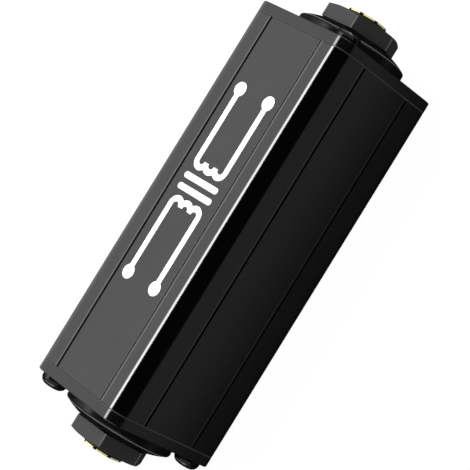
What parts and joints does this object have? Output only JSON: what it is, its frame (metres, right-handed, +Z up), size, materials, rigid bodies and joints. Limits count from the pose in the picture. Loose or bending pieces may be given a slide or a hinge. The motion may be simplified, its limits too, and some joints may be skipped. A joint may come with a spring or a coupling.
{
  "type": "ground loop isolator",
  "caption": "Black in-line audio ground loop isolator: grooved rectangular box with end caps, and a plug socket with domed washer, hexagonal nut and gold ring in each end.",
  "frame": {"origin": "middle of the face that the box stands on, under the centre of the long axis", "axes": "+X along the box towards the output socket, +Y across its narrow side, +Z up towards the marked face"},
  "size_m": [0.0948, 0.0252, 0.0294],
  "materials": {
    "housing_black": "satin black anodised extrusion",
    "cap_black": "fine matt black coating",
    "screw_black": "black oxide",
    "washer_black": "moulded, half gloss",
    "nut_black": "moulded, soft sheen",
    "gold": "gold plated, polished",
    "socket_black": "moulded",
    "contact_metal": "tinned spring bronze",
    "board_green": "glass fibre board with solder mask",
    "core_steel": "stacked plates, brushed edges",
    "bobbin_plastic": "moulded nylon",
    "winding_copper": "enamelled copper wire",
    "tape_yellow": "thin polyester tape",
    "pin_tin": "tinned",
    "clamp_steel": "zinc plated strip",
    "ink_white": "white screen ink of the symbol on the marked face"
  },
  "bodies": {
    "root": {"housing": "housing_black", "input_end_cap": "cap_black", "output_end_cap": "cap_black", "end_cap_screws": "screw_black", "input_jack_washer": "washer_black", "output_jack_washer": "washer_black", "input_jack_nut": "nut_black", "output_jack_nut": "nut_black", "input_jack_ferrule": "gold", "output_jack_ferrule": "gold", "input_jack_body": "socket_black", "output_jack_body": "socket_black", "input_tip_spring": "contact_metal", "output_tip_spring": "contact_metal", "input_ring_spring": "contact_metal", "output_ring_spring": "contact_metal", "input_sleeve_terminal": "contact_metal", "output_sleeve_terminal": "contact_metal", "circuit_board": "board_green", "core_e_stack": "core_steel", "core_i_stack": "core_steel", "transformer_bobbin": "bobbin_plastic", "primary_winding": "winding_copper", "layer_tape": "tape_yellow", "secondary_winding": "winding_copper", "outer_tape": "tape_yellow", "transformer_pins": "pin_tin", "core_clamp": "clamp_steel"}
  },
  "joints": []
}
